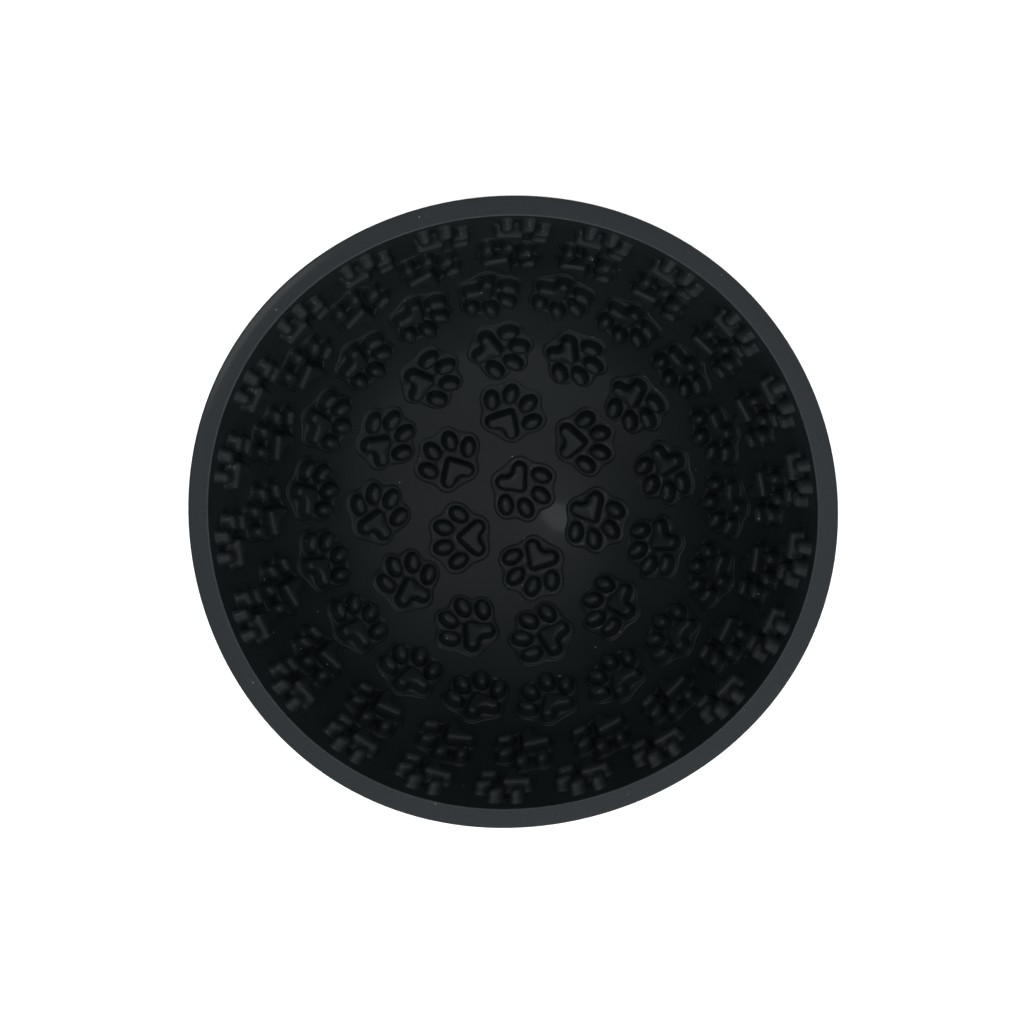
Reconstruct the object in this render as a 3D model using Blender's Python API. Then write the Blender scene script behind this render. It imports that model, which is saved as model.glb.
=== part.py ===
"""Wobble slow feeder bowl: a weighted round-bottomed shell with a lift-out paw-relief lick bowl."""
import math

import bmesh
import bpy
from mathutils import Vector

# Lick bowl, metres and degrees: rim seen from above, wall, and how far up its sphere the rim sits
RIM_RADIUS = 0.0825
RIM_BAND = 0.0050
RIM_RISE = 79.2
RIM_EDGE = 0.0004
FLANGE_THICKNESS = 0.0025
BOWL_WALL = 0.0022

# Rocker shell, its gasket and the tread pad under it
SHELL_SETBACK = 0.0005
SHELL_DIP = 0.0005
SHELL_FLOOR = 0.0025
GASKET_THICKNESS = 0.0008
GASKET_INSET = 0.0004
TREAD_PROUD = 0.0004
TREAD_EDGE = 0.0036
TREAD_THICKNESS = 0.0019

# Ballast, its cover, the four bosses and their screws
BALLAST_THICKNESS = 0.0054
BALLAST_EDGE = 0.0014
COVER_THICKNESS = 0.0016
COVER_INSET = 0.0026
COVER_TO_BOWL = 0.0014
BOSS_RADIUS = 0.0038
BOSS_ROOT = 0.0012
SCREW_COUNT = 4
SCREW_INSET = 0.0104
SCREW_SHANK_RADIUS = 0.0011
SCREW_GRIP_SHARE = 0.80
SCREW_HEAD_RADIUS = 0.0026
SCREW_HEAD_HEIGHT = 0.0018
SCREW_SIDE_SHARE = 0.60
SCREW_CROWN_SHARE = 0.75
SOCKET_RADIUS = 0.0012
SOCKET_DEPTH = 0.0009

# Gap between pieces that touch
CLEARANCE = 0.0003

# Facets around a turned piece, a screw, a boss, a screw hole and a socket
SEGMENTS = 44
SCREW_SIDES = 16
BOSS_SIDES = 16
HOLE_SIDES = 12
SOCKET_SIDES = 6

# Steps along the curved sections
BOWL_STEPS = 9
SHELL_OUTER_STEPS = 12
SHELL_INNER_STEPS = 8
BALLAST_STEPS = 3
TREAD_STEPS = 2

# Where the middle corner of a rounded rim edge lies, as a share of the edge
EDGE_CORNER_SHARE = 0.30

# Paw rings: count, rise up the bowl, first azimuth, turn of the toes from outward, degrees
PAW_RINGS = (
    (1, 0.0, 90.0, 140.0),
    (6, 15.9, 98.1, 38.7),
    (12, 30.0, 98.3, 115.0),
    (18, 44.7, 98.3, 151.0),
    (20, 58.0, 92.2, 37.0),
    (22, 70.7, 88.45, 50.0),
)
# Bare wall left between the paws of neighbouring rings, taken over all the rings
PAW_GAP = 0.00174
# Paw shape in shares of the paw's span: toes on one side as across, along, lean in degrees
TOES = ((0.156, 0.262, 12.0), (0.363, 0.028, 32.0))
TOE_HALF_LENGTH = 0.188
TOE_HALF_WIDTH = 0.136
TOE_CORNERS = 5
# Main pad's right half from the notch to the tip
PAD_HALF = ((0.165, -0.392), (0.282, -0.270), (0.062, 0.043))
PAD_NOTCH = (0.0, -0.310)
# Bumps: height over the wall, share of the wall they root in, share of the outline left at their tops
BUMP_HEIGHT = 0.0035
BUMP_ROOT_SHARE = 0.55
BUMP_TOP_SHARE = 0.70


def radius_at(sphere, centre_z, height):
    return math.sqrt(sphere ** 2 - (centre_z - height) ** 2)


def height_at(sphere, centre_z, radius):
    return centre_z - math.sqrt(sphere ** 2 - radius ** 2)


# The stack of pieces from the floor up to the lick bowl's inside
TREAD_POCKET_Z = TREAD_THICKNESS + CLEARANCE
SHELL_FLOOR_Z = TREAD_POCKET_Z + SHELL_FLOOR
BALLAST_Z = SHELL_FLOOR_Z + CLEARANCE
BALLAST_TOP_Z = BALLAST_Z + BALLAST_THICKNESS
COVER_Z = BALLAST_TOP_Z + CLEARANCE
COVER_TOP_Z = COVER_Z + COVER_THICKNESS
SCREW_Z = COVER_TOP_Z + CLEARANCE
SCREW_LENGTH = COVER_THICKNESS + SCREW_GRIP_SHARE * BALLAST_THICKNESS

# The lick bowl's sphere, and the height of the whole bowl
MOUTH_RADIUS = RIM_RADIUS - RIM_BAND
BOWL_SPHERE = MOUTH_RADIUS / math.sin(math.radians(RIM_RISE))
BOWL_OUTER = BOWL_SPHERE + BOWL_WALL
BOWL_CENTRE_Z = COVER_TOP_Z + COVER_TO_BOWL + BOWL_OUTER
HEIGHT = BOWL_CENTRE_Z - BOWL_SPHERE * math.cos(math.radians(RIM_RISE))
FLANGE_UNDER_Z = HEIGHT - FLANGE_THICKNESS
NECK_RADIUS = radius_at(BOWL_OUTER, BOWL_CENTRE_Z, FLANGE_UNDER_Z)
RING_STEP = PAW_RINGS[-1][1] / (len(PAW_RINGS) - 1)
PAW_SPAN = BOWL_SPHERE * math.radians(RING_STEP) - PAW_GAP

# The shell's sphere runs from just inside the rim to a little below the floor, where the tread is cut flat
SHELL_TOP_Z = FLANGE_UNDER_Z - GASKET_THICKNESS - 2 * CLEARANCE
SHELL_TOP_RADIUS = RIM_RADIUS - SHELL_SETBACK
SHELL_SPHERE = (SHELL_TOP_RADIUS ** 2 + (SHELL_TOP_Z + SHELL_DIP) ** 2) / (2 * (SHELL_TOP_Z + SHELL_DIP))
SHELL_CENTRE_Z = SHELL_SPHERE - SHELL_DIP
SHELL_WALL = SHELL_TOP_RADIUS - NECK_RADIUS - CLEARANCE
SHELL_INNER = SHELL_SPHERE - SHELL_WALL
TREAD_SPHERE = SHELL_SPHERE + TREAD_PROUD
TREAD_FLAT_RADIUS = radius_at(TREAD_SPHERE, SHELL_CENTRE_Z, 0.0)
TREAD_RADIUS = TREAD_FLAT_RADIUS + TREAD_EDGE
BALLAST_UNDER = SHELL_INNER - CLEARANCE
BALLAST_RADIUS = radius_at(BALLAST_UNDER, SHELL_CENTRE_Z, BALLAST_TOP_Z - BALLAST_EDGE)
COVER_RADIUS = radius_at(SHELL_INNER, SHELL_CENTRE_Z, COVER_Z) - COVER_INSET
SCREW_CIRCLE = BALLAST_RADIUS - SCREW_INSET
PILOT_RADIUS = SCREW_SHANK_RADIUS + CLEARANCE


def clear_scene():
    for item in list(bpy.data.objects):
        bpy.data.objects.remove(item, do_unlink=True)


def surface(name, colour, roughness, metallic=0.0):
    made = bpy.data.materials.new(name)
    made.use_nodes = True
    shader = made.node_tree.nodes["Principled BSDF"]
    shader.inputs["Base Color"].default_value = (*colour, 1.0)
    shader.inputs["Roughness"].default_value = roughness
    shader.inputs["Metallic"].default_value = metallic
    return made


def new_object(name, shape, look=None):
    bmesh.ops.recalc_face_normals(shape, faces=shape.faces)
    mesh = bpy.data.meshes.new(name)
    shape.to_mesh(mesh)
    shape.free()
    made = bpy.data.objects.new(name, mesh)
    bpy.context.scene.collection.objects.link(made)
    if look:
        mesh.materials.append(look)
    return made


def smooth(made):
    for face in made.data.polygons:
        face.use_smooth = True


def sphere_arc(sphere, centre_z, radius_from, radius_to, steps):
    """Section points on the lower half of a sphere, from one radius to another."""
    start = math.asin(radius_from / sphere)
    end = math.asin(radius_to / sphere)
    points = []
    for step in range(steps + 1):
        angle = start + (end - start) * step / steps
        points.append((sphere * math.sin(angle), centre_z - sphere * math.cos(angle)))
    return points


def turned(name, section, look, segments=SEGMENTS):
    """Solid turned from a closed section; points at radius zero share one vertex on the axis."""
    shape = bmesh.new()
    rows = []
    for radius, height in section:
        if radius < 1e-7:
            rows.append([shape.verts.new((0.0, 0.0, height))])
            continue
        row = []
        for step in range(segments):
            angle = 2 * math.pi * step / segments
            row.append(shape.verts.new((radius * math.cos(angle), radius * math.sin(angle), height)))
        rows.append(row)
    for lower, upper in zip(rows, rows[1:] + rows[:1]):
        if len(lower) == 1 and len(upper) == 1:
            continue
        for step in range(segments):
            after = (step + 1) % segments
            corners = [lower[step % len(lower)], lower[after % len(lower)],
                       upper[after % len(upper)], upper[step % len(upper)]]
            shape.faces.new(list(dict.fromkeys(corners)))
    made = new_object(name, shape, look)
    smooth(made)
    return made


def posts(name, radius, low_z, high_z, sides):
    """One upright post at each screw position, for joining to or cutting from another solid."""
    shape = bmesh.new()
    for index in range(SCREW_COUNT):
        turn = 2 * math.pi * index / SCREW_COUNT
        x = SCREW_CIRCLE * math.cos(turn)
        y = SCREW_CIRCLE * math.sin(turn)
        add_prism(shape, x, y, radius, low_z, high_z, sides)
    made = new_object(name, shape)
    made.hide_render = True
    made.display_type = "WIRE"
    return made


def add_prism(shape, x, y, radius, low_z, high_z, sides):
    rings = []
    for height in (low_z, high_z):
        ring = []
        for side in range(sides):
            angle = 2 * math.pi * side / sides
            corner = (x + radius * math.cos(angle), y + radius * math.sin(angle), height)
            ring.append(shape.verts.new(corner))
        rings.append(ring)
    add_loft(shape, rings[0], rings[1])


def add_loft(shape, base, top):
    """Close the space between two equal rings of vertices."""
    shape.faces.new(base[::-1])
    shape.faces.new(top)
    for index in range(len(base)):
        after = (index + 1) % len(base)
        shape.faces.new((base[index], base[after], top[after], top[index]))


def combine(made, other, operation):
    step = made.modifiers.new(operation.lower() + "_" + other.name, "BOOLEAN")
    step.operation = operation
    step.solver = "EXACT"
    step.object = other


def toe_outline(across, along, lean):
    points = []
    for corner in range(TOE_CORNERS):
        angle = 2 * math.pi * corner / TOE_CORNERS
        length = TOE_HALF_LENGTH * math.cos(angle)
        width = TOE_HALF_WIDTH * math.sin(angle)
        turn = math.radians(lean)
        points.append((across + length * math.sin(turn) + width * math.cos(turn),
                       along + length * math.cos(turn) - width * math.sin(turn)))
    return points


def paw_outlines():
    """Outlines of the four toes and the main pad, in shares of the paw's span."""
    outlines = []
    for across, along, lean in TOES:
        outlines.append(toe_outline(across, along, lean))
        outlines.append(toe_outline(-across, along, -lean))
    left = [(-across, along) for across, along in reversed(PAD_HALF)]
    outlines.append([PAD_NOTCH, *PAD_HALF, *left])
    return outlines


def paw_relief():
    """All the raised toes and pads, rooted in the bowl's wall."""
    shape = bmesh.new()
    centre = Vector((0.0, 0.0, BOWL_CENTRE_Z))
    outlines = paw_outlines()
    for count, rise, first, turn in PAW_RINGS:
        for index in range(count):
            add_paw(shape, centre, outlines, math.radians(rise),
                    math.radians(first + 360.0 * index / count), math.radians(turn))
    made = new_object("paw_relief", shape)
    made.hide_render = True
    made.display_type = "WIRE"
    return made


def add_paw(shape, centre, outlines, rise, azimuth, turn):
    level = Vector((math.cos(azimuth), math.sin(azimuth), 0.0))
    upright = Vector((0.0, 0.0, 1.0))
    down = math.sin(rise) * level - math.cos(rise) * upright
    outward = math.cos(rise) * level + math.sin(rise) * upright
    right = level.cross(upright)
    toes = math.cos(turn) * outward + math.sin(turn) * right
    side = math.cos(turn) * right - math.sin(turn) * outward

    def place(across, along, distance):
        ray = down * BOWL_SPHERE + (side * across + toes * along) * PAW_SPAN
        return centre + ray.normalized() * distance

    for outline in outlines:
        mid_across = sum(point[0] for point in outline) / len(outline)
        mid_along = sum(point[1] for point in outline) / len(outline)
        base = []
        top = []
        for across, along in outline:
            base.append(shape.verts.new(place(across, along, BOWL_SPHERE + BUMP_ROOT_SHARE * BOWL_WALL)))
            top_across = mid_across + (across - mid_across) * BUMP_TOP_SHARE
            top_along = mid_along + (along - mid_along) * BUMP_TOP_SHARE
            top.append(shape.verts.new(place(top_across, top_along, BOWL_SPHERE - BUMP_HEIGHT)))
        add_loft(shape, base, top)


def make_lick_bowl(look):
    edge_z = HEIGHT - RIM_EDGE
    edge_radius = radius_at(BOWL_SPHERE, BOWL_CENTRE_Z, edge_z)
    corner = EDGE_CORNER_SHARE * RIM_EDGE
    section = sphere_arc(BOWL_SPHERE, BOWL_CENTRE_Z, 0.0, edge_radius, BOWL_STEPS)
    section += [
        (edge_radius + corner, HEIGHT - corner),
        (edge_radius + RIM_EDGE, HEIGHT),
        (RIM_RADIUS - RIM_EDGE, HEIGHT),
        (RIM_RADIUS - corner, HEIGHT - corner),
        (RIM_RADIUS, edge_z),
        (RIM_RADIUS, FLANGE_UNDER_Z + RIM_EDGE),
        (RIM_RADIUS - RIM_EDGE, FLANGE_UNDER_Z),
    ]
    section += sphere_arc(BOWL_OUTER, BOWL_CENTRE_Z, NECK_RADIUS, 0.0, BOWL_STEPS)
    made = turned("lick_bowl", section, look)
    combine(made, paw_relief(), "UNION")
    return made


def make_rocker_shell(look):
    pocket_radius = TREAD_RADIUS + CLEARANCE
    top_inner = radius_at(SHELL_INNER, SHELL_CENTRE_Z, SHELL_TOP_Z)
    floor_radius = radius_at(SHELL_INNER, SHELL_CENTRE_Z, SHELL_FLOOR_Z)
    section = [(0.0, TREAD_POCKET_Z), (pocket_radius, TREAD_POCKET_Z)]
    section += sphere_arc(SHELL_SPHERE, SHELL_CENTRE_Z, pocket_radius, SHELL_TOP_RADIUS, SHELL_OUTER_STEPS)
    section += sphere_arc(SHELL_INNER, SHELL_CENTRE_Z, top_inner, floor_radius, SHELL_INNER_STEPS)
    section.append((0.0, SHELL_FLOOR_Z))
    made = turned("rocker_shell", section, look)
    boss_low = height_at(SHELL_INNER, SHELL_CENTRE_Z, SCREW_CIRCLE) - BOSS_ROOT
    combine(made, posts("shell_bosses", BOSS_RADIUS, boss_low, BALLAST_TOP_Z, BOSS_SIDES), "UNION")
    pilot_low = SCREW_Z - SCREW_LENGTH - CLEARANCE
    combine(made, posts("pilot_holes", PILOT_RADIUS, pilot_low, SCREW_Z, HOLE_SIDES), "DIFFERENCE")
    return made


def make_rim_gasket(look):
    low = SHELL_TOP_Z + CLEARANCE
    high = low + GASKET_THICKNESS
    inner = NECK_RADIUS + CLEARANCE + GASKET_INSET
    outer = SHELL_TOP_RADIUS - GASKET_INSET
    return turned("rim_gasket", [(inner, low), (outer, low), (outer, high), (inner, high)], look)


def make_tread_pad(look):
    section = [(0.0, 0.0)]
    section += sphere_arc(TREAD_SPHERE, SHELL_CENTRE_Z, TREAD_FLAT_RADIUS, TREAD_RADIUS, TREAD_STEPS)
    section += [(TREAD_RADIUS, TREAD_THICKNESS), (0.0, TREAD_THICKNESS)]
    return turned("tread_pad", section, look)


def make_ballast(look):
    floor_radius = radius_at(BALLAST_UNDER, SHELL_CENTRE_Z, BALLAST_Z)
    section = [(0.0, BALLAST_Z)]
    section += sphere_arc(BALLAST_UNDER, SHELL_CENTRE_Z, floor_radius, BALLAST_RADIUS, BALLAST_STEPS)
    section += [(BALLAST_RADIUS, BALLAST_TOP_Z), (0.0, BALLAST_TOP_Z)]
    made = turned("ballast_disc", section, look)
    holes = posts("ballast_holes", BOSS_RADIUS + CLEARANCE, 0.0, HEIGHT, BOSS_SIDES)
    combine(made, holes, "DIFFERENCE")
    return made


def make_cover(look):
    section = [(0.0, COVER_Z), (COVER_RADIUS, COVER_Z), (COVER_RADIUS, COVER_TOP_Z), (0.0, COVER_TOP_Z)]
    made = turned("ballast_cover", section, look)
    combine(made, posts("cover_holes", PILOT_RADIUS, 0.0, HEIGHT, HOLE_SIDES), "DIFFERENCE")
    return made


def make_screws(look):
    """Screw at the origin with the head's seat at height zero, then one copy at each position."""
    socket = bmesh.new()
    socket_low = SCREW_HEAD_HEIGHT - SOCKET_DEPTH
    add_prism(socket, 0.0, 0.0, SOCKET_RADIUS, socket_low, 2 * SCREW_HEAD_HEIGHT, SOCKET_SIDES)
    for index in range(SCREW_COUNT):
        turn = 2 * math.pi * index / SCREW_COUNT
        where = (SCREW_CIRCLE * math.cos(turn), SCREW_CIRCLE * math.sin(turn), SCREW_Z)
        cutter = new_object("socket_" + str(index + 1), socket.copy())
        cutter.hide_render = True
        cutter.display_type = "WIRE"
        cutter.location = where
        section = [
            (0.0, -SCREW_LENGTH),
            (SCREW_SHANK_RADIUS, -SCREW_LENGTH + SCREW_SHANK_RADIUS),
            (SCREW_SHANK_RADIUS, 0.0),
            (SCREW_HEAD_RADIUS, 0.0),
            (SCREW_HEAD_RADIUS, SCREW_SIDE_SHARE * SCREW_HEAD_HEIGHT),
            (SCREW_CROWN_SHARE * SCREW_HEAD_RADIUS, SCREW_HEAD_HEIGHT),
            (0.0, SCREW_HEAD_HEIGHT),
        ]
        screw = turned("cover_screw_" + str(index + 1), section, look, SCREW_SIDES)
        screw.location = where
        combine(screw, cutter, "DIFFERENCE")
    socket.free()


clear_scene()
soft_black = surface("black_rubber", (0.013, 0.014, 0.015), 0.42)
make_lick_bowl(soft_black)
make_rocker_shell(surface("shell_plastic", (0.020, 0.021, 0.023), 0.55))
make_rim_gasket(surface("gasket_rubber", (0.030, 0.030, 0.032), 0.60))
make_tread_pad(surface("tread_rubber", (0.016, 0.016, 0.017), 0.70))
make_ballast(surface("ballast_iron", (0.120, 0.118, 0.115), 0.65, 0.8))
make_cover(surface("cover_plastic", (0.045, 0.046, 0.048), 0.50))
make_screws(surface("screw_steel", (0.480, 0.480, 0.490), 0.30, 1.0))
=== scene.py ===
"""Looks of the wobble slow feeder bowl: paw relief, shell and small pieces in a white studio."""
import math

import bpy
import numpy as np
from mathutils import Matrix, Vector
from mathutils.geometry import delaunay_2d_cdt


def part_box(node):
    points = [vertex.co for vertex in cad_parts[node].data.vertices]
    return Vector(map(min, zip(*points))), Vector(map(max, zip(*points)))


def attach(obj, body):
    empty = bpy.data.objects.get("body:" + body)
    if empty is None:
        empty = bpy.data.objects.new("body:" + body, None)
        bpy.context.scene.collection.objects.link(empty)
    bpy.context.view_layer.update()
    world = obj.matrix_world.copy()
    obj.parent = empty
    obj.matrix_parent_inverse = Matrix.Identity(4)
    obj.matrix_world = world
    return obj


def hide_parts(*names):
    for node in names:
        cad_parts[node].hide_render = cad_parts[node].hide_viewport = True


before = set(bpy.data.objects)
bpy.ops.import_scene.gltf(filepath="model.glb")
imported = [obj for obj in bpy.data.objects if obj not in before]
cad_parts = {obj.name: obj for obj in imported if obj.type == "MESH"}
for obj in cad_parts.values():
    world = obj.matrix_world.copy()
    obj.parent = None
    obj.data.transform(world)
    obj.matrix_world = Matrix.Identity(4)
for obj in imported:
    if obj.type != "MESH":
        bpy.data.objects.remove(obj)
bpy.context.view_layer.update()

# Sizes read from the frame, metres
_, bowl_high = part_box("lick_bowl")
shell_low, shell_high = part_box("rocker_shell")
gasket_low, gasket_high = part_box("rim_gasket")
_, tread_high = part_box("tread_pad")
ballast_low, ballast_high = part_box("ballast_disc")
HEIGHT = bowl_high.z
RIM_RADIUS = bowl_high.x

# Shell, gasket and foot, metres and degrees; the shell's sphere would dip a little below the floor
SHELL_DIP = 0.0005
SHELL_EDGE = 0.0006
SHELL_LIP_LEAN = 15.0
SHELL_OUTSIDE_STEPS = 40
SHELL_INSIDE_STEPS = 30
GASKET_INNER = 0.07993
CLEARANCE = 0.0003
TREAD_FLAT_INSET = 0.0036
TREAD_EDGE = 0.0004
# Heights of the foot's curve halfway to its side, near its side and at it
TREAD_RISES = (0.00028, 0.00068, 0.0011)

# Turned pieces: steps round, steps of a rounded edge, radius taken as the axis, and the angle over
# which an edge is creased
TURN_SEGMENTS = 160
EDGE_STEPS = 4
AXIS_REACH = 1e-7
CREASE = math.radians(50.0)

# Lick bowl, metres and degrees
RIM_BAND = 0.0051
RIM_RISE = 79.2
RIM_EDGE = 0.0004
FLANGE_THICKNESS = 0.0025
BOWL_WALL = 0.0022
MOUTH_RADIUS = RIM_RADIUS - RIM_BAND
BOWL_SPHERE = MOUTH_RADIUS / math.sin(math.radians(RIM_RISE))
BOWL_CENTRE_Z = HEIGHT + BOWL_SPHERE * math.cos(math.radians(RIM_RISE))
BOWL_SEGMENTS = 176
LIP_ROWS = 5
LIP_START = 165.0
OUTSIDE_STEPS = 24

# The soft rubber sits a little out of round: shares of the radius at the rim,
# with the waves as count, cosine and sine
OVAL_X = 0.0134
OVAL_Y = -0.0092
OVAL_TURN = 0.0049
WAVES = ((3, 0.0033, 0.0007), (4, -0.0026, -0.0034))

# Screws and the bosses that hold them, metres
SCREWS = (1, 2, 3, 4)
SCREW_SEGMENTS = 48
BOSS_RADIUS = 0.0038
BOSS_ROOT = 0.0012
SCREW_HEAD_HEIGHT = 0.0018
SCREW_SHANK = 0.0011
# Crown of a screw's head as share of its radius and drop from its top, and the height of its straight side
HEAD_CROWN = ((0.62, 0.0), (0.80, 0.00018), (0.94, 0.00055))
HEAD_SIDE = 0.0008
SOCKET_RADIUS = 0.0012
SOCKET_DEPTH = 0.0009
SOCKET_BEVEL = 0.0001
SOCKET_BEVEL_DEPTH = 0.00005
# Points this far above the head's seat and this near to the socket take its six sides
SOCKET_LOW = 0.0001
SOCKET_REACH = 0.00012

# Colours of the lick bowl: rubber; dust, whose paler colour also paints overhead light and grows lighter
# towards +X and −Y; the pale lip, a painted highlight; lint
BOWL_COLOUR = (0.0084, 0.0116, 0.0114)
# The dust colour also paints overhead light on up-facing surfaces near the rim
DUST_AND_LIGHT_COLOUR = (0.0205, 0.0255, 0.0265)
# Lean of the dust colour: lighter towards +X and −Y
COLOUR_SIDE_LEAN = (1.40, -1.70, 0.0)
DUST_SCALE = 900.0
DUST_DETAIL = 4.0
# Pale lip colour: a painted highlight along the rim's rounded inner edge
LIP_HIGHLIGHT_COLOUR = (0.023, 0.028, 0.029)
LINT_COLOUR = (0.20, 0.20, 0.20)
LINT_SCALE = 300.0
LINT_RADIUS = 0.05
LINT_SHARE = 0.17
# Dust's tints as place on the ramp, share of its colour
DUST_TINTS = ((0.3, 0.94), (0.75, 1.10))
# Where the paler dust colour paints overhead light: the normal's part pointing up, and height; and heights
# and share of the paler band on the upper wall
LIT_UPWARD_EDGES = (0.55, 0.95)
LIT_DUST_HEIGHTS = (0.074, 0.0798)
# Paler band on the upper wall, drawn towards the dust colour as it rises
UPPER_BAND_HEIGHTS = (0.052, 0.078)
UPPER_BAND_SHARE = 0.20
SPECULAR = 0.096
LIP_SPECULAR = 0.30
COAT_WEIGHT = 0.06
COAT_ROUGHNESS = 0.10

# Looks: colour, roughness, scale and spread of the clouded colour, scale and strength of the grain, metallic
LOOKS = {
    "black_rubber": (BOWL_COLOUR, 0.40, 45.0, 0.12, 2600.0, 0.05, 0.0),
    "lip_painted_highlight": (LIP_HIGHLIGHT_COLOUR, 0.38, 300.0, 0.20, 2600.0, 0.05, 0.0),
    "shell_plastic": ((0.018, 0.019, 0.021), 0.50, 30.0, 0.10, 3200.0, 0.10, 0.0),
    "gasket_rubber": ((0.030, 0.030, 0.032), 0.60, 60.0, 0.15, 2500.0, 0.10, 0.0),
    "tread_rubber": ((0.016, 0.016, 0.017), 0.70, 80.0, 0.20, 1800.0, 0.25, 0.0),
    "screw_steel": ((0.48, 0.48, 0.49), 0.30, 400.0, 0.08, 6000.0, 0.05, 1.0),
    "ballast_iron": ((0.12, 0.118, 0.115), 0.65, 120.0, 0.25, 1500.0, 0.4, 0.8),
    "cover_plastic": ((0.045, 0.046, 0.048), 0.50, 50.0, 0.10, 3000.0, 0.10, 0.0),
}
CLOUD_DETAIL = 5.0
CLOUD_EDGES = (0.35, 0.65)
SHEEN_EDGES = (0.3, 0.7)
SHEEN_SPREAD = 0.05
GRAIN_DETAIL = 3.0
GRAIN_DEPTH = 0.0002

# Sky: levels low and overhead, where it changes, and how its low part leans and bands to the sides
HORIZON_LEVEL = 0.54
ZENITH_LEVEL = 1.25
ZENITH_EDGES = (0.54, 0.95)
ZENITH_AXIS = (0.20, 0.07, 0.977)
SKY_LEAN = (0.24, -1.48, 0.0)
SKY_BAND = (-0.60, 1.32, 0.0)
SKY_COLOUR = (0.99, 0.975, 1.04)

# Lamp, floor just clear of the foot, and backdrop, metres
SPOT_LEVEL = 8.5
SPOT_PLACE = (-0.380, 0.101, 1.26)
SPOT_SIZE = (0.23, 0.28)
FLOOR_COLOUR = (0.88, 0.88, 0.88)
FLOOR_ROUGHNESS = 0.9
FLOOR_LIFT = 0.60
FLOOR_HALF = 3.0
FLOOR_Z = -0.0002
BACKDROP_RADIUS = 2.9
BACKDROP_TOP = 1.0
BACKDROP_SEGMENTS = 64

# Camera: lean from straight above in degrees, distance and aim in metres, focal length in pixels of the frame
CAMERA_LEAN_X = 2.90
CAMERA_LEAN_Y = 6.36
CAMERA_DISTANCE = 1.0245
CAMERA_AIM = (0.00033, 0.00067)
CAMERA_NEAR = 0.01
SENSOR = 36.0
FOCAL_PIXELS = 4000.0
FRAME_PIXELS = 1024.0

# Paw rings: count, rise up the bowl, first azimuth, turn of the toes from outward in degrees, and the
# distance from the bumps to the middle of the groove round them in shares of the span, none for no groove
PAW_RINGS = (
    (1, 0.0, 90.0, 140.0, 0.054),
    (6, 15.9, 98.1, 38.7, 0.054),
    (12, 30.0, 98.3, 115.0, 0.054),
    (18, 44.7, 98.3, 151.0, 0.044),
    (20, 58.0, 92.2, 37.0, 0.038),
    (22, 70.7, 88.45, 50.0, 0.0),
)
PAW_SPAN = 0.0177
BUMP_HEIGHT = 0.0035
GROOVE_DEPTH = 0.00038

# Paw shape in shares of the span: toes on one side as across, along, lean in degrees
TOES = ((0.156, 0.262, 12.0), (0.363, 0.028, 32.0))
TOE_HALF_LENGTH = 0.165
TOE_HALF_WIDTH = 0.119
LOBE = (0.170, -0.276)
LOBE_RADIUS = 0.114
TIP = (0.0, -0.026)
TIP_RADIUS = 0.074
NOTCH_ALONG = -0.310
OUTLINE_BLEND = 0.160
OUTLINE_PAD_EXTRA = 0.012

# Distance from the groove's middle, or from the bumps where there is no groove,
# to the edge of a paw's patch
GROOVED_EDGE = 0.017
PLAIN_EDGE = 0.020

# Section of a toe's and the pad's side as inset from the outline, share of the height
TOE_SIDE = (
    (-0.008, 0.0), (0.001, 0.06), (0.011, 0.38), (0.021, 0.63),
    (0.032, 0.78), (0.048, 0.88), (0.070, 0.945),
)
PAD_SIDE = (
    (-0.008, 0.0), (0.001, 0.06), (0.011, 0.40), (0.021, 0.68),
    (0.032, 0.84), (0.048, 0.935), (0.070, 0.985),
)
# Points on the top of a toe along its length, and of the pad as across, along
TOE_TOPS = (-0.05, 0.0, 0.05)
PAD_TOPS = (
    (0.0, -0.08), (0.0, -0.14), (0.0, -0.21), (0.10, -0.22), (-0.10, -0.22),
    (0.18, -0.285), (-0.18, -0.285),
)
# Section of the groove as offset from its middle, share of the depth
GROOVE_SIDE = ((0.012, 0.0), (0.004, 1.0), (-0.004, 1.0), (-0.012, 0.0), (-0.017, 0.0))

# Points round the outlines, and the search for the outline round a whole paw
TOE_POINTS = 20
NOTCH_POINTS = 3
LOBE_POINTS = 9
SIDE_POINTS = 4
TIP_POINTS = 3
OUTLINE_POINTS = 60
OUTLINE_REACH = 0.7
OUTLINE_HALVINGS = 40
LEAST_SLOPE = 1e-9

# Bare wall: spacing of its points in metres, their least share of it from a patch, and the parts of a
# direction along a paw's axis that keep the map finite and count as near that paw
FILL_SPACING = 0.0030
FILL_CLEAR = 0.4
AHEAD_LEAST = 0.1
AHEAD_NEAR = 0.5
TINY = 1e-12

# Triangulation: the kind that keeps all triangles, and the tolerances in paw shares and on the map
ALL_TRIANGLES = 0
PATCH_TOLERANCE = 1e-6
WALL_TOLERANCE = 1e-7


def mesh_object(name, points, faces, second=(), sharp=None):
    """Smooth mesh, creased at edges over the angle sharp; faces in second take its second material."""
    mesh = bpy.data.meshes.new(name)
    mesh.from_pydata(points, [], faces)
    for face in mesh.polygons:
        face.use_smooth = True
    for index in second:
        mesh.polygons[index].material_index = 1
    mesh.validate()
    if sharp:
        mesh.set_sharp_from_angle(angle=sharp)
    made = bpy.data.objects.new(name, mesh)
    bpy.context.scene.collection.objects.link(made)
    return made


def out_of_round(points):
    """Points with the slight oval and waves of the soft bowl, growing from the bottom to the rim."""
    points = np.array(points)
    x, y, z = points.T
    growth = np.clip(z / HEIGHT, 0.0, 1.0) ** 2
    azimuth = np.arctan2(y, x)
    wave = sum(
        cosine * np.cos(count * azimuth) + sine * np.sin(count * azimuth)
        for count, cosine, sine in WAVES
    )
    moved_x = x + ((OVAL_X + wave) * x + OVAL_TURN * y) * growth
    moved_y = y + ((OVAL_Y + wave) * y + OVAL_TURN * x) * growth
    return np.column_stack((moved_x, moved_y, z)).tolist()


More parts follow.
